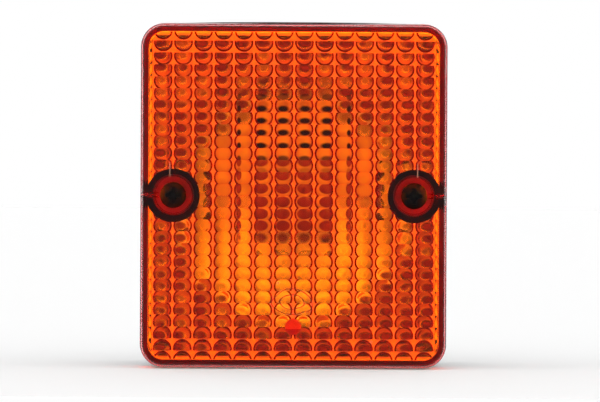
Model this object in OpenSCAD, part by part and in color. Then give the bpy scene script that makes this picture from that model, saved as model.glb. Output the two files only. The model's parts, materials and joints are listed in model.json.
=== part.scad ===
// Rectangular vehicle indicator lamp: amber prismatic lens, metallised reflector
// and a 21 W bayonet bulb in a black moulded housing with two rear studs.
// Millimetres. +Z is up, the lens faces -Y, and the origin is the middle of the
// rear mounting plane. "f" is always the distance in front of that plane.

/* [Lens] */
// Width over the open edge of the lens skirt
lens_w = 94.5; // [90:0.5:100]
// Height over the open edge of the lens skirt
lens_h = 106; // [101:0.5:110]
// Corner radius over the open edge of the skirt
lens_corner_r = 7.5; // [7:0.5:9]
// Thickness of the skirt
lens_wall = 2.4; // [2:0.1:2.8]
// Thickness of the front face without its optics
lens_face = 2.5; // [2.2:0.1:3]
// Depth of the skirt, open edge to front face
lens_depth = 14.5; // [13:0.5:17]
// Draft of the skirt, in degrees
lens_draft = 1.5; // [1:0.5:3]

/* [Lens optics] */
// Whole columns of pillow optics
pillow_cols = 14; // [12:2:14]
// Whole rows of pillow optics
pillow_rows = 26; // [22:2:26]
// Distance from column to column
pillow_pitch_x = 6.17; // [6:0.01:6.2]
// Distance from row to row
pillow_pitch_z = 3.65; // [3.5:0.01:3.7]
// Radius of each pillow's hollow sphere
pillow_r = 4; // [3.6:0.1:4.5]
// Radius of each pillow's outline on the face
pillow_outline_r = 2.8; // [2.6:0.05:2.9]
// How far the spheres of the top and bottom rows are shifted outwards
pillow_shift = 1.3; // [0:0.1:1.4]

/* [Lamp body] */
// Distance of the lens' open edge in front of the mounting plane
seat_f = 35.5; // [35:0.5:38]
// Distance between the two lens screws, and between the two studs
screw_spacing = 74; // [73.5:0.1:74.5]
// Wall thickness of the housing
housing_wall = 2.4; // [2:0.1:2.6]
// Depth of the housing's front flange
flange_depth = 9.6; // [8:0.2:11]
// Thickness of the rubber pad behind the housing
pad_t = 2; // [1.5:0.5:2]
// Length of each stud behind the mounting plane
stud_out = 18; // [12:1:25]

/* [Reflector and bulb] */
// Radius of the reflector bowl at its rim
bowl_r = 37; // [35:0.5:37.5]
// Height of the bowl's centre over the lamp's centre
bowl_z = -4.5; // [-5:0.5:-4]
// Depth of the bowl
bowl_depth = 25.5; // [24:0.5:26]
// Distance of the bulb's axis in front of the mounting plane
bulb_f = 25; // [24.5:0.1:25]

/* [Hidden] */
$fn = 48;
eps = 0.01;

// Lens, worked out from the driving sizes
face_f = seat_f + lens_depth;
land_f = face_f - lens_face;
edge_round = 1.5;
draft_in = tan(lens_draft);
inner_half_w = lens_w / 2 - lens_wall - (land_f - seat_f) * draft_in;
inner_half_h = lens_h / 2 - lens_wall - (land_f - seat_f) * draft_in;
inner_corner_r = lens_corner_r - lens_wall - (land_f - seat_f) * draft_in;
pillow_centre_f = land_f - sqrt(pow(pillow_r, 2) - pow(pillow_outline_r, 2));
pillow_sag = pillow_centre_f + pillow_r - land_f;
even_share = 0.4;
end_power = 12;
pillow_reach = 1.6;
pillow_margin = 0.2;
side_column_in = 0.4;
tongue = [1.2, 0.8];

// Screw wells
screw_x = screw_spacing / 2;
well_tube_r = 8.2;
well_r = 5.8;
well_floor = 7.5;
counterbore = [4.45, 0.8];
screw_hole_r = 2.3;
drain_r = 0.75;
gate_z = -40.1;
gate_r = 2.5;
gate_len = 5;

// Screws and seals
seal_t = 1;
seal_r = 3.8;
head_r = 4;
head_h = 2.7;
head_dome_r = 6.2;
shank_r = 1.95;
shank_len = 24;
tip_r = 1.3;
tip_len = 2;
recess = [4.9, 1.15, 1.7];
recess_cone = [0.7, 1.5];
hole_play = 0.05;

// Gasket and housing
gasket_t = 1.6;
gasket_w = 2.8;
flange_corner_r = 10.5;
upstand = [1.4, 3.6];
step_in = 3.75;
body_draft = 1.5;
back_t = 2.5;
post_r = 5.5;
table_r = 8.3;
crown = 0.3;
crown_half = 36;
web_t = 1.5;
web_reach = 5;
stud_r = 2.5;
stud_root_r = 3;
stud_in = 11;
stud_collar = [4, 4];
strap = [6, 33];
strap_boss_r = 3.5;
strap_pilot_r = 1.5;
drain = [24, 8, 3];
drain_in = [1, 8];
upstand_in = lens_wall / 2 + gasket_w / 2 + 0.05;
flange_f = seat_f - gasket_t;
step_f = flange_f - flange_depth;

// Threaded inserts in the posts
insert_flange_r = 5.6;
insert_r = 3.2;
insert_len = 14;

// Cable inlet
inlet = [-22, 36];
inlet_bore_r = 2.8;
inlet_wall_r = 6;
grommet_lip = 2;
grommet_bead = 1.6;
grommet_nose = 6;

// Reflector
reflector_t = 1.5;
reflector_gap = 0.3;
post_clear_r = 8.7;
bowl_steps = 16;
holder_window = [24, 10, 31];
holder_window_r = 6;
boss_notch = 9.2;

// Bulb. Its cap starts at the height cap_z, and its glass reaches down from there.
cap_z = bowl_z + 21.5;
cap_r = 7.5;
cap_t = 0.3;
cap_len = 15;
cap_bead = 0.15;
pin_z = cap_z + 9.8;
pin_r = 1;
pin_out = 0.75;
cap_cone = [6.6, 3.4, 1.5];
contact_cone = [2.9, 2.3, 1.2];
glass_r = 12.5;
glass_t = 0.8;
glass_belly = 22;
neck_r = 7.2;
neck_len = 3;
stem_len = 11;
stem_r = [2.1, 2.6];
stem_flare_r = 3.4;
lead_r = 0.3;
lead_x = [1.3, 2.6, 2.9];
lead_bend = [1.5, 5];
filament_turns = 9;
filament_half = 2.6;
filament_coil_r = 0.45;
filament_r = 0.12;

// Holder
shell_r = 8.6;
shell_in_r = 7.75;
shell_z = [16, 40];
shell_lip = [0.8, 1];
slot_w = 2.4;
slot_turn = 3.1;
plate_t = 1.2;
bracket_half_w = 9;
bracket_foot_z = 28;
bracket_hole_r = 3.2;
strap_hole_r = 1.6;
leg_f = 6.8;
strap_shank_r = 1.45;
strap_head = [2.8, 2.3, 1.8];
strap_slot = [0.7, 0.8];
carriage_z = 35.9;
carriage = [7.4, 1.4];
carriage_hub = [2.8, 0.8];
plunger_r = 1.5;
plunger_bore_r = 1.6;
plunger_head = [2.8, 1.2];
plunger_top = [2.4, 0.8];
spring_turns = 2.5;
spring_coil_r = 5.2;
spring_wire_r = 0.35;
washer = [6, 1.3];
bush_r = 3.1;
tab = [6.3, 0.8];
tab_hole_r = 0.8;
live_ring_r = 4;
live_reach = 17;
earth_z = [36, 39.6];
earth_reach = 20;

// Stands a piece that was drawn lying on its back: its +Z becomes the front, -Y.
module upright() {
  rotate([90, 0, 0]) children();
}

module rounded_rect(w, h, r) {
  square([w - 2 * r, h], center = true);
  square([w, h - 2 * r], center = true);
  for (x = [-1, 1], y = [-1, 1])
    translate([x * (w / 2 - r), y * (h / 2 - r)]) circle(r);
}

// Carries a profile round a rounded rectangle. The profile's x is measured
// outwards from the corners' centres, and its y is the distance f.
module carried_round(w, h, r) {
  for (k = [0 : 3]) {
    across = k % 2 == 0 ? w : h;
    along = k % 2 == 0 ? h : w;
    rotate([0, 0, 90 * k]) {
      translate([across / 2 - r, 0, 0])
        rotate([90, 0, 0]) linear_extrude(along - 2 * r, center = true) children();
      translate([across / 2 - r, along / 2 - r, 0]) rotate_extrude(angle = 90) children();
    }
  }
}

module disc(r, f0, f1) {
  translate([0, 0, f0]) cylinder(r = r, h = f1 - f0);
}

module bar(x, y, f) {
  translate([x[0], y[0], f[0]]) cube([x[1] - x[0], y[1] - y[0], f[1] - f[0]]);
}

// Section through the skirt and the margin of the face, with a rounded front edge.
module lens_section() {
  r_at = function(f) lens_corner_r - (f - seat_f) * draft_in;
  centre = [r_at(face_f - edge_round) - edge_round / cos(lens_draft), face_f - edge_round];
  meet = centre + edge_round * [cos(lens_draft), sin(lens_draft)];
  inner = lens_corner_r - lens_wall;
  polygon([
    [0, face_f], [centre[0], face_f], meet, [lens_corner_r, seat_f],
    [inner + lens_wall / 2 + tongue[0] / 2, seat_f],
    [inner + lens_wall / 2 + tongue[0] / 2, seat_f - tongue[1]],
    [inner + lens_wall / 2 - tongue[0] / 2, seat_f - tongue[1]],
    [inner + lens_wall / 2 - tongue[0] / 2, seat_f],
    [inner, seat_f], [inner_corner_r, land_f], [0, land_f]
  ]);
  translate(centre) circle(edge_round);
}

// One row of pillows, to be cut out of the face's rear side. Towards the top and
// the bottom the spheres move outwards in their cells, so that each row ends in
// a step. The part rows beyond the whole ones are cut off flat, and the part
// columns are moved in a little.
module pillow_row(j) {
  z = (j - (pillow_rows - 1) / 2) * pillow_pitch_z;
  whole = pillow_rows * pillow_pitch_z / 2;
  u = abs(z) / (pillow_pitch_z * (pillow_rows - 1) / 2);
  shift = sign(z) * pillow_shift * min(1, even_share * u + (1 - even_share) * pow(u, end_power));
  reach = whole + pillow_reach;
  half_w = inner_half_w - pillow_margin;
  half_h = inner_half_h - pillow_margin;
  intersection() {
    translate([0, 0, land_f - 1])
      linear_extrude(pillow_sag + 2) rounded_rect(2 * half_w, 2 * half_h, inner_corner_r - pillow_margin);
    bar([-half_w - 1, half_w + 1],
        [max(-reach, z - pillow_pitch_z / 2), min(reach, z + pillow_pitch_z / 2)],
        [land_f - 0.5, land_f + pillow_sag + 0.5]);
    for (i = [-1 : pillow_cols]) {
      inwards = i < 0 ? side_column_in : i == pillow_cols ? -side_column_in : 0;
      translate([(i - (pillow_cols - 1) / 2) * pillow_pitch_x + inwards, z + shift, pillow_centre_f])
        rotate([90, 0, 0]) sphere(pillow_r);
    }
  }
}

module screw_well(x) {
  translate([x, 0, 0]) {
    disc(screw_hole_r, seat_f - 1, face_f + 1);
    disc(counterbore[0], seat_f + well_floor - counterbore[1], face_f + 1);
    translate([0, 0, seat_f + well_floor])
      cylinder(r1 = well_r - 0.1, r2 = well_r + 0.1, h = lens_depth - well_floor + eps);
  }
}

module lens() {
  color("darkorange") upright() difference() {
    union() {
      difference() {
        union() {
          carried_round(lens_w, lens_h, lens_corner_r) lens_section();
          bar([-lens_w / 2 + lens_corner_r, lens_w / 2 - lens_corner_r],
              [-lens_h / 2 + lens_corner_r, lens_h / 2 - lens_corner_r], [land_f, face_f]);
        }
        for (j = [-1 : pillow_rows]) pillow_row(j);
      }
      for (x = [-screw_x, screw_x])
        translate([x, 0, 0]) disc(well_tube_r, seat_f, land_f + pillow_sag + 0.2);
      translate([0, gate_z, 0]) disc(gate_r, land_f - gate_len, land_f + pillow_sag + 0.2);
    }
    for (x = [-screw_x, screw_x]) screw_well(x);
    for (k = [-1, 1])
      translate([k * (screw_x + counterbore[0] - 0.5), 0, seat_f + well_floor])
        rotate([0, k * 90, 0]) cylinder(r = drain_r, h = lens_w / 2);
  }
}

// Follows the skirt, with a ring under each screw boss.
module lens_gasket() {
  mid = lens_corner_r - lens_wall / 2;
  color("#161616") upright() difference() {
    union() {
      carried_round(lens_w, lens_h, lens_corner_r)
        polygon([
          [mid - gasket_w / 2, flange_f], [mid + gasket_w / 2 - 0.4, flange_f],
          [mid + gasket_w / 2 - 0.4, seat_f], [mid + tongue[0] / 2, seat_f],
          [mid + tongue[0] / 2, seat_f - tongue[1]], [mid - tongue[0] / 2, seat_f - tongue[1]],
          [mid - tongue[0] / 2, seat_f], [mid - gasket_w / 2, seat_f]
        ]);
      for (x = [-screw_x, screw_x]) intersection() {
        translate([x, 0, 0]) disc(well_tube_r, flange_f, seat_f);
        bar([-lens_w / 2 + lens_wall, lens_w / 2 - lens_wall], [-lens_h / 2, lens_h / 2], [0, face_f]);
      }
    }
    for (x = [-screw_x, screw_x])
      translate([x, 0, 0]) disc(insert_flange_r + 0.1, flange_f - 1, seat_f + 1);
  }
}

module thread_insert(k) {
  color("#c8a040") upright() translate([k * screw_x, 0, 0]) difference() {
    union() {
      disc(insert_flange_r, flange_f, seat_f);
      disc(insert_r, flange_f - insert_len, flange_f + 1);
    }
    disc(shank_r + hole_play, flange_f - insert_len - 1, seat_f + 1);
  }
}

module lens_screw(k) {
  seat = seat_f + well_floor - counterbore[1] + seal_t;
  color("#1b1b1d") upright() translate([k * screw_x, 0, 0]) {
    difference() {
      intersection() {
        disc(head_r, seat, seat + head_h);
        translate([0, 0, seat + head_h - head_dome_r]) sphere(head_dome_r);
      }
      for (a = [0, 90]) rotate([0, 0, a])
        bar([-recess[0] / 2, recess[0] / 2], [-recess[1] / 2, recess[1] / 2],
            [seat + head_h - recess[2], seat + head_h + 1]);
      translate([0, 0, seat + head_h - recess[2]])
        cylinder(r1 = recess_cone[0], r2 = recess_cone[1], h = recess[2] + eps);
    }
    disc(shank_r, seat - shank_len + tip_len, seat + 0.5);
    translate([0, 0, seat - shank_len]) cylinder(r1 = tip_r, r2 = shank_r, h = tip_len);
  }
}

module screw_seal(k) {
  seat = seat_f + well_floor - counterbore[1];
  color("#202020") upright() translate([k * screw_x, 0, 0]) difference() {
    disc(seal_r, seat, seat + seal_t);
    disc(shank_r + hole_play, seat - 1, seat + seal_t + 1);
  }
}

// Section of the wall: stepped flange under the gasket, upstand inside the lens, drafted body.
module housing_section() {
  out = flange_corner_r;
  up_out = out - upstand_in;
  up_in = up_out - upstand[0];
  body = out - step_in;
  back = body - (step_f - pad_t) * tan(body_draft);
  polygon([
    [0, pad_t], [back, pad_t], [body, step_f], [out, step_f], [out, flange_f],
    [up_out, flange_f], [up_out, flange_f + upstand[1]], [up_in, flange_f + upstand[1]],
    [up_in, step_f + housing_wall], [body - housing_wall, step_f + housing_wall],
    [back - housing_wall, pad_t + back_t], [0, pad_t + back_t]
  ]);
}

// Post for a stud and a lens screw, with a round table under the lens boss.
module post(k) {
  translate([k * screw_x, 0, 0]) {
    disc(post_r, pad_t + eps, flange_f);
    disc(table_r, step_f, flange_f);
  }
  reach = lens_w / 2 - step_in - 1;
  bar(k > 0 ? [screw_x, reach] : [-reach, -screw_x], [-web_t / 2, web_t / 2], [pad_t + 1, step_f + 2]);
  for (a = [90, -90])
    translate([k * screw_x, 0, 0]) rotate([0, 0, a])
      bar([0, post_r + web_reach], [-web_t / 2, web_t / 2], [pad_t + 1, pad_t + back_t + web_reach]);
}

// Slight outward bow of the flange's upper edge.
module flange_crown() {
  bow_r = (pow(crown_half, 2) + pow(crown, 2)) / (2 * crown);
  translate([0, 0, step_f]) linear_extrude(flange_depth) intersection() {
    translate([0, lens_h / 2 + crown - bow_r]) circle(bow_r, $fn = 2000);
    translate([-crown_half, lens_h / 2 - 1]) square([2 * crown_half, 1 + crown]);
  }
}

module housing() {
  color("#1c1c1e") upright() difference() {
    union() {
      carried_round(lens_w, lens_h, flange_corner_r) housing_section();
      bar([-lens_w / 2 + flange_corner_r, lens_w / 2 - flange_corner_r],
          [-lens_h / 2 + flange_corner_r, lens_h / 2 - flange_corner_r], [pad_t, pad_t + back_t]);
      flange_crown();
      for (k = [-1, 1]) {
        post(k);
        translate([k * strap[0], strap[1], 0]) disc(strap_boss_r, pad_t + eps, leg_f);
      }
    }
    for (k = [-1, 1]) {
      translate([k * screw_x, 0, 0]) {
        disc(insert_r, flange_f - insert_len, flange_f + 1);
        disc(shank_r + 2 * hole_play, flange_f - insert_len - 3, flange_f);
        disc(stud_root_r, pad_t - 1, pad_t + stud_in);
        disc(stud_collar[0], pad_t + stud_in - stud_collar[1], pad_t + stud_in);
      }
      translate([k * strap[0], strap[1], 0]) disc(strap_pilot_r, pad_t + 1, leg_f + 1);
      bar([k * drain[0] - drain[1] / 2, k * drain[0] + drain[1] / 2],
          [-lens_h / 2 + drain_in[0], -lens_h / 2 + drain_in[1]], [step_f - 2 * drain[2], step_f - drain[2]]);
      bar(k > 0 ? [screw_x, lens_w / 2] : [-lens_w / 2, -screw_x],
          [-boss_notch, boss_notch], [flange_f, seat_f + upstand[1]]);
    }
    translate([inlet[0], inlet[1], 0]) disc(inlet_wall_r, pad_t - 1, pad_t + back_t + 1);
  }
}

module base_pad() {
  back_in = step_in + (step_f - pad_t) * tan(body_draft);
  corner = flange_corner_r - back_in;
  color("#2a2a2a") upright() difference() {
    linear_extrude(pad_t)
      rounded_rect(lens_w - 2 * back_in, lens_h - 2 * back_in, corner);
    for (x = [-screw_x, screw_x]) translate([x, 0, 0]) disc(stud_root_r + 0.1, -1, pad_t + 1);
    translate([inlet[0], inlet[1], 0]) disc(inlet_wall_r + grommet_lip + 1.2, -1, pad_t + 1);
  }
}

module cable_grommet() {
  wall_f = pad_t + back_t;
  lip_r = inlet_wall_r + grommet_lip;
  bead_r = inlet_wall_r + grommet_bead;
  color("#262626") upright() translate([inlet[0], inlet[1], 0]) rotate_extrude()
    polygon([
      [inlet_bore_r, 0.4], [lip_r - 1, 0.4], [lip_r, 1], [lip_r, pad_t], [inlet_wall_r, pad_t],
      [inlet_wall_r, wall_f], [bead_r, wall_f], [bead_r - 0.4, wall_f + 1.8],
      [inlet_bore_r + 1.8, wall_f + grommet_nose], [inlet_bore_r, wall_f + grommet_nose]
    ]);
}

module mounting_stud(k) {
  color("silver") upright() translate([k * screw_x, 0, 0]) {
    disc(stud_r, -stud_out + 0.8, 1);
    disc(stud_root_r, 0, pad_t + stud_in);
    translate([0, 0, -stud_out]) cylinder(r1 = stud_r - 0.7, r2 = stud_r, h = 0.8);
    disc(stud_collar[0], pad_t + stud_in - stud_collar[1], pad_t + stud_in);
  }
}

// Parabola of the bowl: distance f of its polished face at radius r.
function bowl_f(r) = seat_f - bowl_depth + bowl_depth * pow(r / bowl_r, 2);

module bowl_section() {
  face = [for (i = [0 : bowl_steps]) let (r = bowl_r * i / bowl_steps) [r, bowl_f(r)]];
  behind = [for (i = [bowl_steps : -1 : 0])
    let (
      r = bowl_r * i / bowl_steps,
      slope = 2 * bowl_depth * r / pow(bowl_r, 2),
      n = sqrt(1 + slope * slope)
    )
    [r + reflector_t * slope / n, bowl_f(r) - reflector_t / n]];
  polygon(concat(face, behind));
}

module reflector_outline() {
  inset = upstand_in + upstand[0] + reflector_gap;
  rounded_rect(lens_w - 2 * inset, lens_h - 2 * inset, flange_corner_r - inset);
}

module reflector() {
  plate_f = seat_f - reflector_t;
  color("gainsboro") upright() difference() {
    union() {
      difference() {
        translate([0, 0, plate_f]) linear_extrude(reflector_t) reflector_outline();
        translate([0, bowl_z, 0]) disc(bowl_r, plate_f - 1, seat_f + 1);
      }
      translate([0, bowl_z, 0]) rotate_extrude() bowl_section();
    }
    for (x = [-screw_x, screw_x]) translate([x, 0, 0]) disc(post_clear_r, 5, seat_f + 1);
    bar([-holder_window[0] / 2, holder_window[0] / 2],
        [holder_window[1] + holder_window_r, holder_window[2]], [5, plate_f]);
    translate([0, holder_window[1] + 2 * holder_window_r, 0]) disc(holder_window[0] / 2, 5, plate_f);
  }
}

module on_bulb_axis() {
  translate([0, -bulb_f, 0]) children();
}

module ring(r_in, r_out, z0, z1) {
  translate([0, 0, z0]) difference() {
    cylinder(r = r_out, h = z1 - z0);
    translate([0, 0, -1]) cylinder(r = r_in, h = z1 - z0 + 2);
  }
}

// Bayonet shell with two J slots, in whose closed ends the cap's pins sit.
module holder_shell() {
  inside = shell_in_r - 2;
  color("silver") on_bulb_axis() difference() {
    union() {
      ring(shell_in_r, shell_r, shell_z[0], shell_z[1]);
      ring(shell_in_r, shell_r + shell_lip[0], shell_z[0], shell_z[0] + shell_lip[1]);
    }
    for (a = [0, 180]) rotate([0, 0, a]) {
      translate([inside, slot_turn - slot_w / 2, shell_z[0] - 1])
        cube([6, slot_w, pin_z - shell_z[0] + 1 + slot_w / 2]);
      translate([inside, -slot_w / 2, pin_z - slot_w / 2]) cube([6, slot_turn + slot_w / 2, slot_w]);
    }
  }
}

module holder_bracket() {
  top_z = shell_z[1] + plate_t;
  color("#b9b9b4") difference() {
    union() {
      translate([-bracket_half_w, -bulb_f - shell_r, shell_z[1]])
        cube([2 * bracket_half_w, bulb_f + shell_r - leg_f, plate_t]);
      translate([-bracket_half_w, -leg_f - plate_t, bracket_foot_z])
        cube([2 * bracket_half_w, plate_t, top_z - bracket_foot_z]);
    }
    on_bulb_axis() translate([0, 0, shell_z[1] - 1]) cylinder(r = bracket_hole_r, h = plate_t + 2);
    for (k = [-1, 1])
      translate([k * strap[0], -leg_f + 1, strap[1]])
        rotate([90, 0, 0]) cylinder(r = strap_hole_r, h = plate_t + 2);
  }
}

module holder_screw(k) {
  head_f = leg_f + plate_t;
  color("silver") upright() translate([k * strap[0], strap[1], 0]) {
    disc(strap_shank_r, pad_t + 1.5, head_f);
    difference() {
      translate([0, 0, head_f]) cylinder(r1 = strap_head[0], r2 = strap_head[1], h = strap_head[2]);
      bar([-strap_head[0] - 1, strap_head[0] + 1], [-strap_slot[0] / 2, strap_slot[0] / 2],
          [head_f + strap_head[2] - strap_slot[1], head_f + strap_head[2] + 1]);
    }
  }
}

module holder_carriage() {
  hub_z = carriage_z + carriage[1];
  color("#6b3a1e") on_bulb_axis() difference() {
    union() {
      translate([0, 0, carriage_z]) cylinder(r = carriage[0], h = carriage[1]);
      translate([0, 0, hub_z]) cylinder(r = carriage_hub[0], h = carriage_hub[1]);
    }
    translate([0, 0, carriage_z - 1]) cylinder(r = plunger_bore_r, h = 4);
  }
}

// Round wire carried along points, as one closed skin.
module wire(points, r, sides = 8) {
  n = len(points);
  rings = [for (i = [0 : n - 1])
    let (
      along = points[min(i + 1, n - 1)] - points[max(i - 1, 0)],
      t = along / norm(along),
      up = abs(t[2]) > 0.9 ? [1, 0, 0] : [0, 0, 1],
      u = cross(up, t) / norm(cross(up, t)),
      v = cross(t, u)
    )
    [for (s = [0 : sides - 1]) points[i] + r * (cos(360 * s / sides) * u + sin(360 * s / sides) * v)]];
  flat = [for (ring_points = rings, p = ring_points) p];
  walls = [for (i = [0 : n - 2], s = [0 : sides - 1])
    let (a = i * sides + s, b = i * sides + (s + 1) % sides) [a, a + sides, b + sides, b]];
  ends = [[for (s = [0 : sides - 1]) s], [for (s = [sides - 1 : -1 : 0]) (n - 1) * sides + s]];
  polyhedron(flat, concat(walls, ends));
}

module holder_spring() {
  steps = 16;
  low = carriage_z + carriage[1] + spring_wire_r;
  high = shell_z[1] - spring_wire_r;
  color("#9a9a9a") on_bulb_axis() wire([for (i = [0 : spring_turns * steps])
    let (a = 360 * i / steps)
      [spring_coil_r * cos(a), spring_coil_r * sin(a), low + (high - low) * i / (spring_turns * steps)]],
    spring_wire_r);
}

// Plunger that presses on the bulb's end contact, riveted over on the live terminal.
module holder_contact() {
  rivet_z = shell_z[1] + plate_t + washer[1] + tab[1];
  color("goldenrod") on_bulb_axis() {
    translate([0, 0, carriage_z - plunger_head[1]]) cylinder(r = plunger_head[0], h = plunger_head[1]);
    translate([0, 0, carriage_z - 0.1]) cylinder(r = plunger_r, h = rivet_z - carriage_z + 0.5);
    translate([0, 0, rivet_z]) cylinder(r = plunger_top[0], h = plunger_top[1]);
  }
}

module holder_insulator() {
  top_z = shell_z[1] + plate_t;
  color("#7a4526") on_bulb_axis() {
    ring(plunger_bore_r, washer[0], top_z, top_z + washer[1]);
    ring(plunger_bore_r, bush_r, shell_z[1], top_z + 0.5);
  }
}

module live_terminal() {
  z = shell_z[1] + plate_t + washer[1];
  color("#c9a227") on_bulb_axis() difference() {
    union() {
      translate([0, 0, z]) cylinder(r = live_ring_r, h = tab[1]);
      translate([0, -tab[0] / 2, z]) cube([live_reach, tab[0], tab[1]]);
    }
    translate([0, 0, z - 1]) cylinder(r = plunger_bore_r, h = tab[1] + 2);
    translate([live_reach - 4, 0, z - 1]) cylinder(r = tab_hole_r, h = tab[1] + 2);
  }
}

module earth_terminal() {
  f = leg_f + plate_t;
  color("#c9a227") difference() {
    translate([0, -f - tab[1], earth_z[0]]) cube([earth_reach, tab[1], earth_z[1] - earth_z[0]]);
    translate([earth_reach - 3, -f + 1, (earth_z[0] + earth_z[1]) / 2])
      rotate([90, 0, 0]) cylinder(r = tab_hole_r, h = tab[1] + 2);
  }
}

// Radius of the glass's outer face at distance d from the cap.
function glass_at(d) =
  d < glass_belly ? neck_r + (glass_r - neck_r) * (1 - cos(180 * min(1, d / glass_belly))) / 2
                  : sqrt(max(0, pow(glass_r, 2) - pow(d - glass_belly, 2)));

module glass_section(inset) {
  neck = [for (d = [0 : 2 : glass_belly]) [glass_at(d) - inset, -d]];
  dome = [for (a = [10 : 10 : 90])
    [(glass_r - inset) * cos(a), -glass_belly - (glass_r - inset) * sin(a)]];
  polygon(concat([[0, neck_len - inset], [neck_r - inset, neck_len - inset]], neck, dome));
}

module bulb_glass() {
  color("lightcyan") on_bulb_axis() translate([0, 0, cap_z]) difference() {
    rotate_extrude() glass_section(0);
    rotate_extrude() glass_section(glass_t);
    cylinder(r = stem_flare_r, h = neck_len + 1);
  }
}

module bulb_cap() {
  color("#c8b27a") on_bulb_axis() {
    difference() {
      union() {
        translate([0, 0, cap_z]) cylinder(r = cap_r, h = cap_len);
        translate([0, 0, cap_z]) cylinder(r1 = cap_r, r2 = cap_r + cap_bead, h = 1);
      }
      translate([0, 0, cap_z - 1]) cylinder(r = cap_r - cap_t, h = cap_len);
    }
    for (a = [0, 180]) rotate([0, 0, a])
      translate([cap_r - 0.2, 0, pin_z]) rotate([0, 90, 0]) cylinder(r = pin_r, h = pin_out + 0.2);
  }
}

module bulb_cap_insulator() {
  color("#101014") on_bulb_axis() translate([0, 0, cap_z + cap_len])
    cylinder(r1 = cap_cone[0], r2 = cap_cone[1], h = cap_cone[2]);
}

module bulb_contact() {
  color("#a8a8a8") on_bulb_axis() translate([0, 0, cap_z + cap_len + cap_cone[2]])
    cylinder(r1 = contact_cone[0], r2 = contact_cone[1], h = contact_cone[2]);
}

module bulb_stem() {
  color("azure") on_bulb_axis() {
    translate([0, 0, cap_z - stem_len]) cylinder(r1 = stem_r[0], r2 = stem_r[1], h = stem_len + neck_len);
    translate([0, 0, cap_z + neck_len - glass_t]) cylinder(r = stem_flare_r, h = glass_t);
  }
}

module bulb_lead_wires() {
  low = cap_z - stem_len;
  for (k = [-1, 1])
    color("#8a8a86") on_bulb_axis()
      wire([[k * lead_x[0], 0, low], [k * lead_x[0], 0, low - lead_bend[0]],
            [k * lead_x[1], 0, low - lead_bend[1]], [k * lead_x[2], 0, bowl_z - 0.5]], lead_r);
}

module bulb_filament() {
  steps = 8;
  color("#55504a") on_bulb_axis() translate([0, 0, bowl_z])
    wire([for (i = [0 : filament_turns * steps])
      let (a = 360 * i / steps)
        [-filament_half + 2 * filament_half * i / (filament_turns * steps),
         filament_coil_r * cos(a), filament_coil_r * sin(a)]], filament_r, 6);
}

lens();
lens_gasket();
lens_screw(-1);  // lens_screw_left
lens_screw(1);  // lens_screw_right
screw_seal(-1);  // screw_seal_left
screw_seal(1);  // screw_seal_right
thread_insert(-1);  // thread_insert_left
thread_insert(1);  // thread_insert_right
housing();
base_pad();
cable_grommet();
mounting_stud(-1);  // mounting_stud_left
mounting_stud(1);  // mounting_stud_right
reflector();
holder_shell();
holder_bracket();
holder_screw(-1);  // holder_screw_left
holder_screw(1);  // holder_screw_right
holder_carriage();
holder_spring();
holder_contact();
holder_insulator();
live_terminal();
earth_terminal();
bulb_glass();
bulb_cap();
bulb_cap_insulator();
bulb_contact();
bulb_stem();
bulb_lead_wires();
bulb_filament();
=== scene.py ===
import json
import math

import bpy
from mathutils import Matrix, Vector

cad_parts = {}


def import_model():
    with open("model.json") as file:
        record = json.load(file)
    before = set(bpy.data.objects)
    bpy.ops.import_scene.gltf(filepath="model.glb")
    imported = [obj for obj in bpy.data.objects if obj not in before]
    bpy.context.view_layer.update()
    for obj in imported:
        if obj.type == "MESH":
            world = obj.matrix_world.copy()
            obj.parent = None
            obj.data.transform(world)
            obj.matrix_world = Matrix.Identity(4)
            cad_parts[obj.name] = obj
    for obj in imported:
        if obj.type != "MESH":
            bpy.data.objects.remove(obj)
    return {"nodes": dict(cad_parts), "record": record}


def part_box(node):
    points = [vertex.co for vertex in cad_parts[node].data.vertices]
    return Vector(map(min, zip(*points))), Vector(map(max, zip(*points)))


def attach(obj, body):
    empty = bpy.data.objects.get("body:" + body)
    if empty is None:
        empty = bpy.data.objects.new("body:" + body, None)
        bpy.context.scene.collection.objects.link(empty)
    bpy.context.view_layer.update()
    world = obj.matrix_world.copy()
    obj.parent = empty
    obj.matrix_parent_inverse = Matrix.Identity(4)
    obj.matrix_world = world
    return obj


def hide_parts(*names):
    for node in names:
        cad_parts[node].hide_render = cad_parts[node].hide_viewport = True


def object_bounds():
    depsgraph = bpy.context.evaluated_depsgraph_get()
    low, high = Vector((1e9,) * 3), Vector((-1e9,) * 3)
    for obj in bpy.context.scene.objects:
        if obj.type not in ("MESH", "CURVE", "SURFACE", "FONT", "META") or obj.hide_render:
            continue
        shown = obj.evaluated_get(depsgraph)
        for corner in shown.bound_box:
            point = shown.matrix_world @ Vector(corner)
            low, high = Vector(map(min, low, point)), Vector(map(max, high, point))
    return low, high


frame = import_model()
cad_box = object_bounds()

# Lengths are in metres, in the part's own frame: the lens faces -Y and Z is up.

# Photograph, taken from about 1.7 m and a little above the lamp
IMAGE_WIDTH = 600
PIXEL = 0.0003058
CAMERA_DISTANCE = 1.7
CAMERA_RISE = 0.037
CAMERA_ROLL = math.radians(0.28)
VIEW_CENTRE = Vector((0.00195, 0, -0.0015))
SENSOR = 36.0

# Planes and radii of the part
FRONT_Y = -0.0497
SIDE_X = 0.0459
SIDE_Z = 0.0518
LAND_Y = -0.0475
LAND_HALF_W = 0.0434
BOWL_Z = -0.0045
BOWL_R = 0.0368
WELL_X = 0.037
WELL_RING = (0.0064, 0.0092)
FILM = 0.00012

WHITE = (1, 1, 1, 1)


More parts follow.
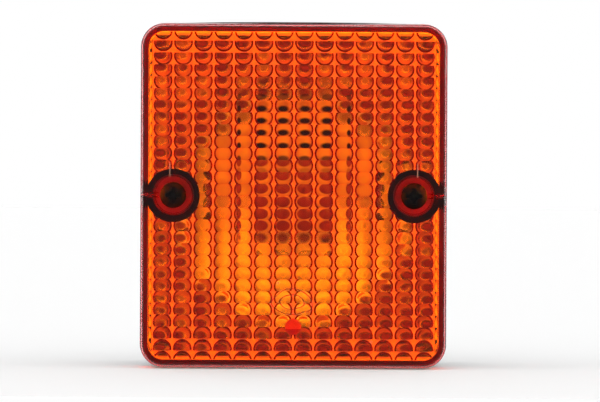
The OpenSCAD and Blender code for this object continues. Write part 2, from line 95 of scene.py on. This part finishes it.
def camera():
    """The photograph's viewpoint."""
    data = bpy.data.cameras.new("camera")
    data.sensor_width = SENSOR
    data.lens = SENSOR * CAMERA_DISTANCE / (IMAGE_WIDTH * PIXEL)
    data.clip_start = 0.05
    obj = bpy.data.objects.new("camera", data)
    bpy.context.scene.collection.objects.link(obj)
    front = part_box("lens")[0].y
    target = Vector((VIEW_CENTRE.x, front, VIEW_CENTRE.z))
    place = Vector((0, front - CAMERA_DISTANCE, CAMERA_RISE))
    turn = (target - place).to_track_quat("-Z", "Y").to_matrix().to_4x4()
    obj.matrix_world = Matrix.Translation(place) @ turn @ Matrix.Rotation(CAMERA_ROLL, 4, "Z")
    bpy.context.scene.camera = obj


class Tree:
    """A node tree with short calls for its usual nodes."""

    def __init__(self, owner):
        self.nodes = owner.node_tree.nodes
        self.links = owner.node_tree.links

    def put(self, socket, value):
        if isinstance(value, bpy.types.NodeSocket):
            self.links.new(value, socket)
        else:
            socket.default_value = value

    def maths(self, operation, a, b=0.0):
        node = self.nodes.new("ShaderNodeMath")
        node.operation = operation
        self.put(node.inputs[0], a)
        self.put(node.inputs[1], b)
        return node.outputs[0]

    def product(self, value, *others):
        for other in others:
            value = self.maths("MULTIPLY", value, other)
        return value

    def most(self, value, *others):
        for other in others:
            value = self.maths("MAXIMUM", value, other)
        return value

    def size(self, value):
        return self.maths("ABSOLUTE", value)

    def above(self, value, limit):
        return self.maths("GREATER_THAN", value, limit)

    def below(self, value, limit):
        return self.maths("LESS_THAN", value, limit)

    def between(self, value, low, high):
        return self.product(self.above(value, low), self.below(value, high))

    def radius(self, a, b):
        return self.maths("SQRT", self.maths("ADD", self.product(a, a), self.product(b, b)))

    def span(self, value, low, high, at=(0.0, 1.0)):
        """From low to high while the value goes from at[0] to at[1], and level outside them."""
        node = self.nodes.new("ShaderNodeMapRange")
        self.put(node.inputs["Value"], value)
        node.inputs["From Min"].default_value, node.inputs["From Max"].default_value = at
        self.put(node.inputs["To Min"], low)
        self.put(node.inputs["To Max"], high)
        return node.outputs["Result"]

    def rest(self, share):
        """What the share leaves of 1."""
        return self.span(share, 1.0, 0.0)

    def island(self, value, first, last, top=1.0):
        """Rises to the top over the first range, and falls to nothing over the last."""
        return self.maths("MINIMUM", self.span(value, 0.0, top, first), self.span(value, top, 0.0, last))

    def split(self, vector):
        node = self.nodes.new("ShaderNodeSeparateXYZ")
        self.links.new(vector, node.inputs["Vector"])
        return node.outputs

    def place(self, kind="Object"):
        return self.nodes.new("ShaderNodeTexCoord").outputs[kind]

    def geometry(self, kind):
        return self.nodes.new("ShaderNodeNewGeometry").outputs[kind]

    def path(self, kind):
        return self.nodes.new("ShaderNodeLightPath").outputs[kind]

    def noise(self, scale, detail=4.0):
        """Noise in the object's own space, in cells to the metre."""
        texture = self.nodes.new("ShaderNodeTexNoise")
        texture.inputs["Scale"].default_value = scale
        texture.inputs["Detail"].default_value = detail
        self.links.new(self.place(), texture.inputs["Vector"])
        return texture.outputs["Fac"]

    def bump(self, height, strength, distance):
        node = self.nodes.new("ShaderNodeBump")
        node.inputs["Strength"].default_value = strength
        node.inputs["Distance"].default_value = distance
        self.links.new(height, node.inputs["Height"])
        return node.outputs["Normal"]

    def blend(self, factor, a, b):
        node = self.nodes.new("ShaderNodeMix")
        node.data_type = "RGBA"
        self.put(node.inputs["Factor"], factor)
        self.put(node.inputs["A"], a)
        self.put(node.inputs["B"], b)
        return node.outputs["Result"]

    def mix(self, factor, a, b, output):
        """Mixes two shaders into the output node's surface."""
        node = self.nodes.new("ShaderNodeMixShader")
        self.links.new(factor, node.inputs["Fac"])
        self.links.new(a, node.inputs[1])
        self.links.new(b, node.inputs[2])
        self.links.new(node.outputs["Shader"], self.nodes[output].inputs["Surface"])


def rgba(colour):
    return (*colour, 1)


def new_material(name):
    material = bpy.data.materials.new(name)
    material.use_nodes = True
    tree = Tree(material)
    return material, tree, tree.nodes["Principled BSDF"]


# The pillows of the lens, as part.scad lays them out
PITCH_X, PITCH_Z = 0.00617, 0.00365
ROWS = 26
OUTLINE_R = 0.0028
SHIFT, EVEN_SHARE, END_POWER = 0.0013, 0.4, 12


def pillow_cell(tree, x, z):
    """Where x and z fall: the centre of their cell, the way from it, and the distance from the pillow's outline."""
    column = tree.product(tree.maths("ADD", tree.maths("FLOOR", tree.maths("DIVIDE", x, PITCH_X)), 0.5), PITCH_X)
    number = tree.maths("ADD", tree.maths("FLOOR", tree.maths("DIVIDE", z, PITCH_Z)), 0.5)
    row = tree.product(number, PITCH_Z)
    across = tree.maths("SUBTRACT", x, column)
    up = tree.maths("SUBTRACT", z, row)
    # The rows' spheres are shifted outwards, most at the two ends
    u = tree.maths("DIVIDE", tree.size(number), (ROWS - 1) / 2)
    even = tree.product(u, EVEN_SHARE)
    at_end = tree.product(tree.maths("POWER", u, END_POWER), 1 - EVEN_SHARE)
    share = tree.maths("MINIMUM", tree.maths("ADD", even, at_end), 1.0)
    shift = tree.product(share, tree.maths("SIGN", number), SHIFT)
    outline = tree.maths("SUBTRACT", tree.radius(across, tree.maths("SUBTRACT", up, shift)), OUTLINE_R)
    return column, row, across, up, outline


def spot(tree, across, up, centre, radii, soft):
    """A soft ellipse in the cell: 1 in its middle, nothing outside it."""
    a = tree.maths("DIVIDE", tree.maths("SUBTRACT", across, centre[0]), radii[0])
    b = tree.maths("DIVIDE", tree.maths("SUBTRACT", up, centre[1]), radii[1])
    return tree.span(tree.radius(a, b), 1.0, 0.0, (1 - soft, 1.0))


# Painted images in the pillows: painted shade and painted light in place of what the pillows would show. They drift
# outwards with the column, and in the outer ones they are narrower.
DRIFT = 0.09
LAST_COLUMN = 0.017
NARROW_SHARE, NARROW_COLUMNS = 0.35, (0.010, 0.015)

HOLDER_PAINTED_SHADE = (0.010, 0.003, 0.004, 1)
HOLDER_W, HOLDER_H, HOLDER_SOFT = 0.0023, 0.0012, 0.45
HOLDER_FIRST, HOLDER_FADES, HOLDER_LAST = (0.006, 0.014), (0.029, 0.035), 0.036
HOLDER_FADES_TO = 0.3
HOLDER_LOW, HOLDER_LOW_ROWS = (-0.0014, -0.0007), (0.0128, 0.020)

BULB_PAINTED_SHADE = (0.14, 0.014, 0.014, 1)
BULB_W, BULB_H, BULB_SOFT = 0.0025, 0.0018, 0.55
BULB_COVER = 0.9
BULB_FIRST, BULB_LAST = (-0.015, -0.008), (0.007, 0.012)
BULB_HIGH, BULB_HIGH_ROWS = 0.0014, (-0.002, 0.0095)

FLANGE_PAINTED_SHADE = (0.15, 0.018, 0.018, 1)
FLANGE_RADII, FLANGE_SOFT = (0.0023, 0.0015), 0.5
FLANGE_COVER = 0.65
FLANGE_OUT_X, FLANGE_OUT_Z = 0.024, 0.022
FLANGE_FROM_R = (0.030, 0.038)
FLANGE_PATCHES, FLANGE_LEAST, FLANGE_RANGE = 110, 0.2, (0.38, 0.55)

GLOW_PAINTED_LIGHT = (0.43, 0.31, 0.08, 1)
GLOW_COVER = 0.85
GLOW_FIRST, GLOW_LAST = (-0.016, -0.008), (0.027, 0.034)
GLOW_COLUMN, GLOW_SIDE_COLUMN = 0.0125, 0.0245
GLOW_SIDE_ROWS, GLOW_SIDE_R = (-0.006, 0.004), (0.029, 0.034)

# The range of cover over which a patch's colour takes over from what lies under it
FLANGE_WINS, BULB_WINS, PAINTED_IMAGE_WINS, MARK_WINS = (0.0, 0.3), (0.0, 0.25), (0.0, 0.15), (0.0, 0.2)


def painted_pillow_images(tree, cell):
    """Painted images of what each pillow shows small of the lamp's inside: painted shade for the holder, the bulb
    and the dark by the flange, painted light for the bright bowl.

    They are laid in by rule from the cell's column and row. Returns how far they cover the cell, and their colour.
    """
    column, row, across, up, _ = cell
    side = tree.size(column)
    drift = tree.product(column, DRIFT)
    wide = tree.span(side, 1.0, NARROW_SHARE, NARROW_COLUMNS)
    near = tree.below(side, LAST_COLUMN)
    # The holder above the bulb, as a painted black dash of shade low in the cell
    low = tree.span(row, *HOLDER_LOW, HOLDER_LOW_ROWS)
    dash = spot(tree, across, up, (drift, low), (tree.product(wide, HOLDER_W), HOLDER_H), HOLDER_SOFT)
    fade = tree.maths("MINIMUM", tree.span(row, 0.0, 1.0, HOLDER_FIRST),
                      tree.span(row, 1.0, HOLDER_FADES_TO, HOLDER_FADES))
    dash = tree.product(dash, fade, tree.below(row, HOLDER_LAST), near)
    # The bulb, as painted dark red shade
    high = tree.span(row, 0.0, BULB_HIGH, BULB_HIGH_ROWS)
    bulb = spot(tree, across, up, (drift, high), (tree.product(wide, BULB_W), BULB_H), BULB_SOFT)
    bulb = tree.product(bulb, tree.island(row, BULB_FIRST, BULB_LAST), near, BULB_COVER)
    # Painted shade: the dark round the bowl, on the side away from the lamp's middle, stronger in some places than
    # in others
    r = tree.radius(column, tree.maths("SUBTRACT", row, BOWL_Z))
    out = (tree.product(column, FLANGE_OUT_X), tree.product(row, FLANGE_OUT_Z))
    dark = spot(tree, across, up, out, FLANGE_RADII, FLANGE_SOFT)
    patches = tree.span(tree.noise(FLANGE_PATCHES, 1.0), FLANGE_LEAST, 1.0, FLANGE_RANGE)
    dark = tree.product(dark, tree.span(r, 0.0, FLANGE_COVER, FLANGE_FROM_R), patches)
    # Painted light: the bright bowl round the holder and beside it
    beside = tree.product(tree.span(row, 0.0, 1.0, GLOW_SIDE_ROWS), tree.span(r, 1.0, 0.0, GLOW_SIDE_R),
                          tree.below(side, GLOW_SIDE_COLUMN))
    painted_glow = tree.product(tree.island(row, GLOW_FIRST, GLOW_LAST, GLOW_COVER),
                        tree.most(tree.below(side, GLOW_COLUMN), beside))
    # The darker painted image gives the colour, also where it is faint
    colour = tree.blend(tree.span(dark, 0.0, 1.0, FLANGE_WINS), GLOW_PAINTED_LIGHT, FLANGE_PAINTED_SHADE)
    colour = tree.blend(tree.span(bulb, 0.0, 1.0, BULB_WINS), colour, BULB_PAINTED_SHADE)
    colour = tree.blend(dash, colour, HOLDER_PAINTED_SHADE)
    return tree.most(dash, bulb, dark, painted_glow), colour


# How the pillows bend light, against their modelled slope: less in the rows at the two ends
BEND, END_BEND, END_Z = -1.3, -0.3, (0.043, 0.047)


def pillow_normal(tree, bending):
    """The slope that bends the light: turned round where bending is 1, so that a hollow acts as a raised pillow."""
    x, y, z = tree.split(tree.geometry("Normal"))
    height = tree.size(tree.split(tree.place())[2])
    factor = tree.span(bending, 1.0, tree.span(height, BEND, END_BEND, END_Z))
    join = tree.nodes.new("ShaderNodeCombineXYZ")
    tree.put(join.inputs["X"], tree.product(x, factor))
    tree.put(join.inputs["Y"], y)
    tree.put(join.inputs["Z"], tree.product(z, factor))
    unit = tree.nodes.new("ShaderNodeVectorMath")
    unit.operation = "NORMALIZE"
    tree.links.new(join.outputs["Vector"], unit.inputs[0])
    return unit.outputs["Vector"]


# Marks of the moulding on the lens's front face
MARK_COLOUR = (0.8, 0.38, 0.22, 1)
FLOW_COLOUR = (0.30, 0.05, 0.01, 1)
WELD_X, WELD_LOW, WELD_HIGH = 0.0379, 0.0048, 0.0100
WELD_STRENGTH, WELD_HALF_W = 0.5, (0.00006, 0.00018)
FLOW_CENTRE, FLOW_RADII = (-0.0003, -0.0327), (0.0071, 0.0047)
FLOW_STRENGTH, FLOW_LINES, FLOW_HALF_W = 0.35, 3.0, (0.04, 0.10)
FLOW_WAVES, FLOW_SWAY, FLOW_REACH = 160, 0.25, (0.3, 1.1)
SPECKS = ((-0.0046, -0.0266), (0.0239, -0.0446))
SPECK_STRENGTH, SPECK_R = 0.9, (0.00018, 0.00032)


def moulding_marks(tree, x, y, z):
    """Faint marks on the front face: weld lines above the wells, flow lines over the gate, two specks.

    Returns how far they cover the face, and their colour.
    """
    off_line = tree.size(tree.maths("SUBTRACT", tree.size(x), WELD_X))
    marks = tree.product(tree.span(off_line, WELD_STRENGTH, 0.0, WELD_HALF_W), tree.between(z, WELD_LOW, WELD_HIGH))
    a = tree.maths("DIVIDE", tree.maths("SUBTRACT", x, FLOW_CENTRE[0]), FLOW_RADII[0])
    b = tree.maths("DIVIDE", tree.maths("SUBTRACT", z, FLOW_CENTRE[1]), FLOW_RADII[1])
    ring = tree.maths("ADD", tree.radius(a, b), tree.span(tree.noise(FLOW_WAVES, 1.0), -FLOW_SWAY, FLOW_SWAY))
    wave = tree.size(tree.maths("SUBTRACT", tree.maths("FRACT", tree.product(ring, FLOW_LINES)), 0.5))
    flow = tree.product(tree.span(wave, FLOW_STRENGTH, 0.0, FLOW_HALF_W), tree.between(ring, *FLOW_REACH))
    for speck in SPECKS:
        near = tree.radius(tree.maths("SUBTRACT", x, speck[0]), tree.maths("SUBTRACT", z, speck[1]))
        marks = tree.most(marks, tree.span(near, SPECK_STRENGTH, 0.0, SPECK_R))
    colour = tree.blend(tree.above(marks, flow), FLOW_COLOUR, MARK_COLOUR)
    return tree.product(tree.most(marks, flow), tree.below(y, FRONT_Y)), colour


def from_outside(tree, x, y, z):
    """1 where light scattered by the floor meets the lens's outer faces: there the lens is plain and dull."""
    outer = tree.most(tree.below(y, FRONT_Y), tree.above(tree.size(x), SIDE_X), tree.above(tree.size(z), SIDE_Z))
    return tree.product(outer, tree.rest(tree.geometry("Backfacing")), tree.path("Is Diffuse Ray"))


# The lens's plastic, and its rear face: frosted flat lands, and pillows whose steep rim is painted dark as painted
# shade
ACRYLIC, ACRYLIC_DENSITY, ACRYLIC_IOR = (0.9925, 0.852, 0.0), 3000, 1.49
HAZE, HAZE_GRAIN = 0.02, 900
REAR_HAZE, REAR_GLOSS = 0.13, 0.05
PILLOW_DEPTH = (0.00002, 0.0013)
LAND_DEPTH, LAND_FLAT = 0.00008, 0.985
LAND_HAZE, LAND_CLEAR = 0.78, 0.3
EDGE, EDGE_SHADE_COLOUR = (-0.00045, 0.00010), (0.11, 0.012, 0.009, 1)
DULL_AMBER = (0.3, 0.2, 0.15, 1)


def amber_acrylic():
    """Clear amber: the colour is in the depth of the plastic.

    The painted images, which are painted shade and painted light, the edges of the pillows, painted dark as shade,
    and the marks are opaque colour on its faces.
    """
    material, tree, shader = new_material("amber_acrylic")
    shader.inputs["IOR"].default_value = ACRYLIC_IOR
    x, y, z = tree.split(tree.place())
    depth = tree.maths("SUBTRACT", LAND_Y, y)
    inside = tree.below(tree.size(x), LAND_HALF_W)
    rear = tree.product(tree.between(depth, -LAND_DEPTH, PILLOW_DEPTH[1]), inside)
    pillow = tree.between(depth, *PILLOW_DEPTH)
    flat = tree.above(tree.size(tree.split(tree.geometry("Normal"))[1]), LAND_FLAT)
    land = tree.product(rear, flat, tree.below(depth, LAND_DEPTH))
    cell = pillow_cell(tree, x, z)
    # Painted shade: a dark line along the steep rim of each pillow
    edge_shade = tree.product(rear, tree.between(cell[-1], *EDGE))
    cover, painted_image = painted_pillow_images(tree, cell)
    cover = tree.product(cover, rear, pillow)
    marks, mark_colour = moulding_marks(tree, x, y, z)
    outside = from_outside(tree, x, y, z)

    haze = tree.maths("ADD", tree.span(tree.noise(HAZE_GRAIN), 0.0, HAZE), tree.product(rear, REAR_HAZE))
    tree.put(shader.inputs["Roughness"], tree.maths("ADD", haze, tree.product(land, LAND_HAZE)))
    clear = tree.product(tree.span(land, 1.0, LAND_CLEAR), tree.rest(cover), tree.rest(edge_shade), tree.rest(marks))
    tree.put(shader.inputs["Transmission Weight"], tree.product(clear, tree.rest(outside)))
    tree.put(shader.inputs["Specular IOR Level"], tree.span(rear, 0.5, REAR_GLOSS))
    # Painted shade and painted light of the pillow images laid over the clear amber
    colour = tree.blend(tree.span(cover, 0.0, 1.0, PAINTED_IMAGE_WINS), WHITE, painted_image)
    colour = tree.blend(outside, colour, DULL_AMBER)
    colour = tree.blend(tree.span(marks, 0.0, 1.0, MARK_WINS), colour, mark_colour)
    tree.put(shader.inputs["Base Color"], tree.blend(edge_shade, colour, EDGE_SHADE_COLOUR))
    bending = tree.product(pillow, tree.rest(tree.most(edge_shade, cover)))
    tree.put(shader.inputs["Normal"], pillow_normal(tree, bending))

    volume = tree.nodes.new("ShaderNodeVolumeAbsorption")
    volume.inputs["Color"].default_value = rgba(ACRYLIC)
    volume.inputs["Density"].default_value = ACRYLIC_DENSITY
    tree.links.new(volume.outputs["Volume"], tree.nodes["Material Output"].inputs["Volume"])
    return material


# How strongly the bump node takes the grain's relief
GRAIN_RELIEF, COAT_GRAIN_RELIEF = 0.4, 0.1


def solid(name, dark, light, metallic, rough, grain, relief, specular=0.5):
    """A material with a fine grain: its colour and gloss vary a little, and it has a slight relief."""
    material, tree, shader = new_material(name)
    texture = tree.noise(grain)
    tree.put(shader.inputs["Base Color"], tree.blend(texture, rgba(dark), rgba(light)))
    tree.put(shader.inputs["Roughness"], tree.span(texture, *rough))
    tree.put(shader.inputs["Normal"], tree.bump(texture, GRAIN_RELIEF, relief))
    shader.inputs["Metallic"].default_value = metallic
    shader.inputs["Specular IOR Level"].default_value = specular
    return material


BOWL_DARK = (0.88, 0.78, 0.62)
BOWL_LIGHT = (0.96, 0.86, 0.70)
# Painted light: the bowl's lower part is lighter and yellower, as if lit from above
BOWL_LIT_LOW, BOWL_LIT_LOW_Z = (0.88, 0.95, 0.6), (-0.030, -0.004)
BOWL_METALLIC, BOWL_ROUGH = 0.6, 0.33
# Painted shade: the plate is darker and redder than the bowl, for the dark front its mirror shows through the amber
# lens
FLANGE_SHADE_DARK = (0.50, 0.22, 0.14)
FLANGE_SHADE_LIGHT = (0.66, 0.29, 0.17)
FLANGE_METALLIC, FLANGE_ROUGH = 0.5, 0.3
COAT_GRAIN, COAT_VARIES, COAT_RELIEF = 350, 0.04, 0.000005


def reflector_coat():
    """Bright satin bowl, painted lighter towards the bottom as painted light, in a plate painted darker and redder
    as painted shade.
    """
    material, tree, shader = new_material("reflector_coat")
    x, y, z = tree.split(tree.place())
    bowl = tree.below(tree.radius(x, tree.maths("SUBTRACT", z, BOWL_Z)), BOWL_R)
    texture = tree.noise(COAT_GRAIN)
    bright = tree.blend(texture, rgba(BOWL_DARK), rgba(BOWL_LIGHT))
    # Painted light towards the bottom of the bowl
    bright = tree.blend(tree.span(z, 1.0, 0.0, BOWL_LIT_LOW_Z), bright, rgba(BOWL_LIT_LOW))
    # Painted shade on the plate
    dark = tree.blend(texture, rgba(FLANGE_SHADE_DARK), rgba(FLANGE_SHADE_LIGHT))
    tree.put(shader.inputs["Base Color"], tree.blend(bowl, dark, bright))
    tree.put(shader.inputs["Metallic"], tree.span(bowl, FLANGE_METALLIC, BOWL_METALLIC))
    rough = tree.span(bowl, FLANGE_ROUGH, BOWL_ROUGH)
    tree.put(shader.inputs["Roughness"], tree.maths("ADD", rough, tree.span(texture, -COAT_VARIES, COAT_VARIES)))
    tree.put(shader.inputs["Normal"], tree.bump(texture, COAT_GRAIN_RELIEF, COAT_RELIEF))
    return material


GLASS_IOR, GLASS_GRAIN, GLASS_HAZE = 1.5, 200, 0.02


def clear_glass():
    """The bulb's glass, with a trace of haze."""
    material, tree, shader = new_material("clear_glass")
    shader.inputs["Base Color"].default_value = WHITE
    shader.inputs["Transmission Weight"].default_value = 1
    shader.inputs["IOR"].default_value = GLASS_IOR
    tree.put(shader.inputs["Roughness"], tree.span(tree.noise(GLASS_GRAIN), 0.0, GLASS_HAZE))
    return material


# Slot: name, dark and light colour, metallic, least and most roughness, grain to the metre, relief, specular level
GRAINED = {
    "black_housing": ("black_plastic", (0.012, 0.012, 0.013), (0.02, 0.02, 0.021), 0, (0.42, 0.55), 2500, 0.00005),
    "black_rubber": ("black_rubber", (0.008, 0.008, 0.008), (0.014, 0.014, 0.014),
                     0, (0.7, 0.85), 1800, 0.00004, 0.3),
    "blackened_steel": ("blackened_steel", (0.004, 0.004, 0.005), (0.012, 0.012, 0.014),
                        0.3, (0.35, 0.5), 1500, 0.00002, 0.3),
    "plated_steel": ("plated_steel", (0.70, 0.68, 0.62), (0.80, 0.78, 0.72), 0.5, (0.35, 0.45), 900, 0.000003),
    "spring_steel": ("spring_steel", (0.4, 0.4, 0.4), (0.55, 0.55, 0.55), 1, (0.25, 0.4), 900, 0.00001),
    "phenolic": ("phenolic", (0.1, 0.04, 0.015), (0.17, 0.07, 0.03), 0, (0.4, 0.6), 1200, 0.00002),
    "brass": ("brass", (0.55, 0.4, 0.15), (0.72, 0.53, 0.22), 1, (0.25, 0.45), 700, 0.00001),
    "black_glass": ("black_glass", (0.01, 0.01, 0.012), (0.02, 0.02, 0.024), 0, (0.08, 0.2), 900, 0.00001),
    "solder": ("solder", (0.35, 0.35, 0.34), (0.5, 0.5, 0.48), 1, (0.4, 0.6), 1500, 0.00003),
    "tungsten": ("tungsten", (0.2, 0.19, 0.18), (0.3, 0.29, 0.27), 1, (0.35, 0.5), 2000, 0.00001),
}


def dress():
    """Gives every CAD node its finish, by the record's slot."""
    finishes = {slot: solid(*values) for slot, values in GRAINED.items()}
    finishes["amber_lens"] = amber_acrylic()
    finishes["metallised"] = reflector_coat()
    finishes["clear_glass"] = clear_glass()
    for part in frame["record"]["subparts"]:
        mesh = frame["nodes"][part["node"]].data
        mesh.materials.clear()
        mesh.materials.append(finishes[part["material_slot"]])


def set_back(node, name, material):
    """The node's form set a film's thickness behind the lens, so that light gets between the two."""
    mesh = frame["nodes"][node].data.copy()
    mesh.name = name
    mesh.transform(Matrix.Translation((0, FILM, 0)))
    mesh.materials.clear()
    mesh.materials.append(material)
    obj = bpy.data.objects.new(name, mesh)
    bpy.context.scene.collection.objects.link(obj)
    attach(obj, "root")
    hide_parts(node)


SEAL_DARK = (0.17, 0.15, 0.15)
SEAL_LIGHT = (0.22, 0.19, 0.19)
SEAL_BLACK = (0.006, 0.005, 0.005)
SEAL_ROUGH, SEAL_GLOSS = 0.6, 0.2
SEAL_GRAIN, SEAL_RELIEF = 1500, 0.00002


def seal_rubber():
    """Grey under the lens's rim, black in the rings under the wells."""
    material, tree, shader = new_material("seal_rubber")
    x, y, z = tree.split(tree.place())
    from_well = tree.radius(tree.maths("SUBTRACT", tree.size(x), WELL_X), z)
    ring = tree.between(from_well, *WELL_RING)
    texture = tree.noise(SEAL_GRAIN)
    grey = tree.blend(texture, rgba(SEAL_DARK), rgba(SEAL_LIGHT))
    tree.put(shader.inputs["Base Color"], tree.blend(ring, grey, rgba(SEAL_BLACK)))
    shader.inputs["Roughness"].default_value = SEAL_ROUGH
    shader.inputs["Specular IOR Level"].default_value = SEAL_GLOSS
    tree.put(shader.inputs["Normal"], tree.bump(texture, GRAIN_RELIEF, SEAL_RELIEF))
    return material


def seals():
    """The gasket and the thread inserts, clear of the lens's rear faces."""
    set_back("lens_gasket", "seal_ring", seal_rubber())
    satin = solid("satin_insert", (0.45, 0.42, 0.4), (0.55, 0.52, 0.5), 0, (0.5, 0.6), 1500, 0.00002, 0.3)
    set_back("thread_insert_left", "insert_left", satin)
    set_back("thread_insert_right", "insert_right", satin)


FLOOR_Y, FLOOR_SIZE = 0.9, (4, 2.2, 1)
FLOOR_COLOUR, FLOOR_ROUGH = (0.9, 0.9, 0.9, 1), 0.9


def floor():
    """Pale floor, white to the camera except for the shadow on it, and no mirror image of it in the lens."""
    low = cad_box[0][2]
    bpy.ops.mesh.primitive_plane_add(size=1, location=(0, FLOOR_Y, low))
    obj = bpy.context.object
    obj.name = "floor"
    obj.scale = FLOOR_SIZE
    material, tree, shader = new_material("floor")
    shader.inputs["Base Color"].default_value = FLOOR_COLOUR
    shader.inputs["Roughness"].default_value = FLOOR_ROUGH
    seen = tree.most(tree.path("Is Camera Ray"), tree.path("Is Diffuse Ray"))
    clear = tree.nodes.new("ShaderNodeBsdfTransparent")
    tree.mix(seen, clear.outputs["BSDF"], shader.outputs["BSDF"], "Material Output")
    obj.data.materials.append(material)


# The studio round the lamp. What the lens lets in, after it has scattered inside the lamp:
# little from round the camera, much from the sides and most from above
LET_IN_FRONT = 0.3
LET_IN_SIDE = 14.0
LET_IN_BACK = 6.0
SIDE_RING = (0.5, 0.8)
LOW_SHARE, HIGH_SHARE, HEIGHTS = 0.15, 1.5, (-0.6, 0.6)
BACK_HALF = (-0.05, 0.25)
# What shows straight through the lens, in front of it and behind it
SEEN_FRONT = 1.0
SEEN_BEHIND = 3.0
# What shows in glossy surfaces: little near the camera, and a bright ring round the lamp that is weaker below
GLOSS_FRONT = 0.2
GLOSS_LEFT, GLOSS_RIGHT = 7.0, 6.0
GLOSS_RING = (0.85, 0.95)
GLOSS_LOW, GLOSS_HEIGHTS = 0.4, (-0.9, -0.1)
# What opaque surfaces get
PLAIN = 1.0


def world():
    """White to the camera. To other rays a light that depends on how they came and on where they go."""
    studio = bpy.data.worlds.new("studio")
    bpy.context.scene.world = studio
    studio.use_nodes = True
    tree = Tree(studio)
    x, y, z = tree.split(tree.place("Generated"))
    off = tree.radius(x, z)
    outside = tree.span(off, 0.0, 1.0, SIDE_RING)
    behind = tree.span(y, 0.0, 1.0, BACK_HALF)

    height = tree.span(z, LOW_SHARE, HIGH_SHARE, HEIGHTS)
    front = tree.maths("ADD", tree.product(outside, height, LET_IN_SIDE), LET_IN_FRONT)
    let_in = tree.span(behind, front, LET_IN_BACK)
    scattered = tree.above(tree.maths("ADD", tree.path("Diffuse Depth"), tree.path("Glossy Depth")), 0.5)
    seen = tree.span(behind, SEEN_FRONT, SEEN_BEHIND)
    let_in = tree.span(scattered, seen, let_in)

    side = tree.product(tree.span(x, GLOSS_LEFT, GLOSS_RIGHT, (-1.0, 1.0)),
                        tree.span(z, GLOSS_LOW, 1.0, GLOSS_HEIGHTS))
    gloss = tree.span(outside, GLOSS_FRONT, 1.0)
    gloss = tree.span(tree.span(off, 0.0, 1.0, GLOSS_RING), gloss, side)
    gloss = tree.span(behind, gloss, 1.0)

    # A ray that the lens bends is both glossy and transmitted, so transmission comes last
    level = tree.span(tree.path("Is Glossy Ray"), PLAIN, gloss)
    level = tree.span(tree.path("Is Transmission Ray"), level, let_in)
    soft = tree.nodes["Background"]
    soft.inputs["Color"].default_value = WHITE
    tree.put(soft.inputs["Strength"], level)
    white = tree.nodes.new("ShaderNodeBackground")
    white.inputs["Color"].default_value = WHITE
    tree.mix(tree.path("Is Camera Ray"), soft.outputs["Background"], white.outputs["Background"], "World Output")


camera()
dress()
seals()
floor()
world()
bpy.context.scene.view_settings.view_transform = "Standard"
